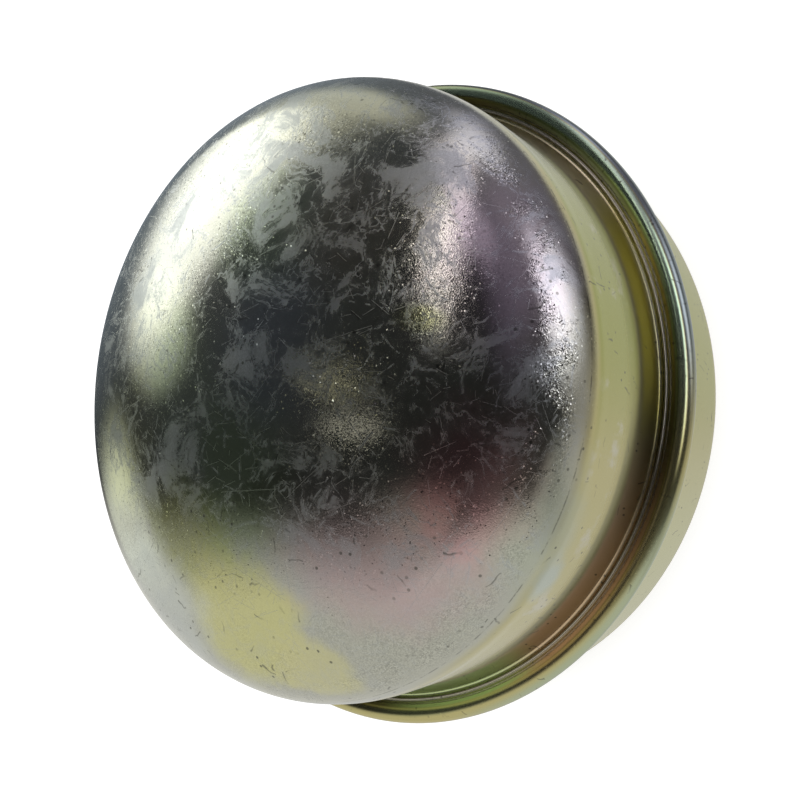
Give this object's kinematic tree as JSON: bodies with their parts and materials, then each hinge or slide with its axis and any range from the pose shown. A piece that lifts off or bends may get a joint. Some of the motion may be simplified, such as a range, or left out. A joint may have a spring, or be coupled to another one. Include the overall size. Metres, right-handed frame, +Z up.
{
  "type": "hub grease cap",
  "caption": "Domed pressed-steel hub grease cap with a rolled stop bead and a push-in skirt, yellow passivated, hollow and open at the rim.",
  "frame": {"origin": "centre of the open rim, on the plane the cap stands on", "axes": "+Z up the cap's own axis from the open rim to the crown of the dome; X and Y are free, because the cap is round"},
  "size_m": [0.0674, 0.0674, 0.0339],
  "materials": {
    "passivated_zinc": "zinc plated and yellow passivated, scuffed"
  },
  "bodies": {
    "root": {"grease_cap": "passivated_zinc"}
  },
  "joints": []
}
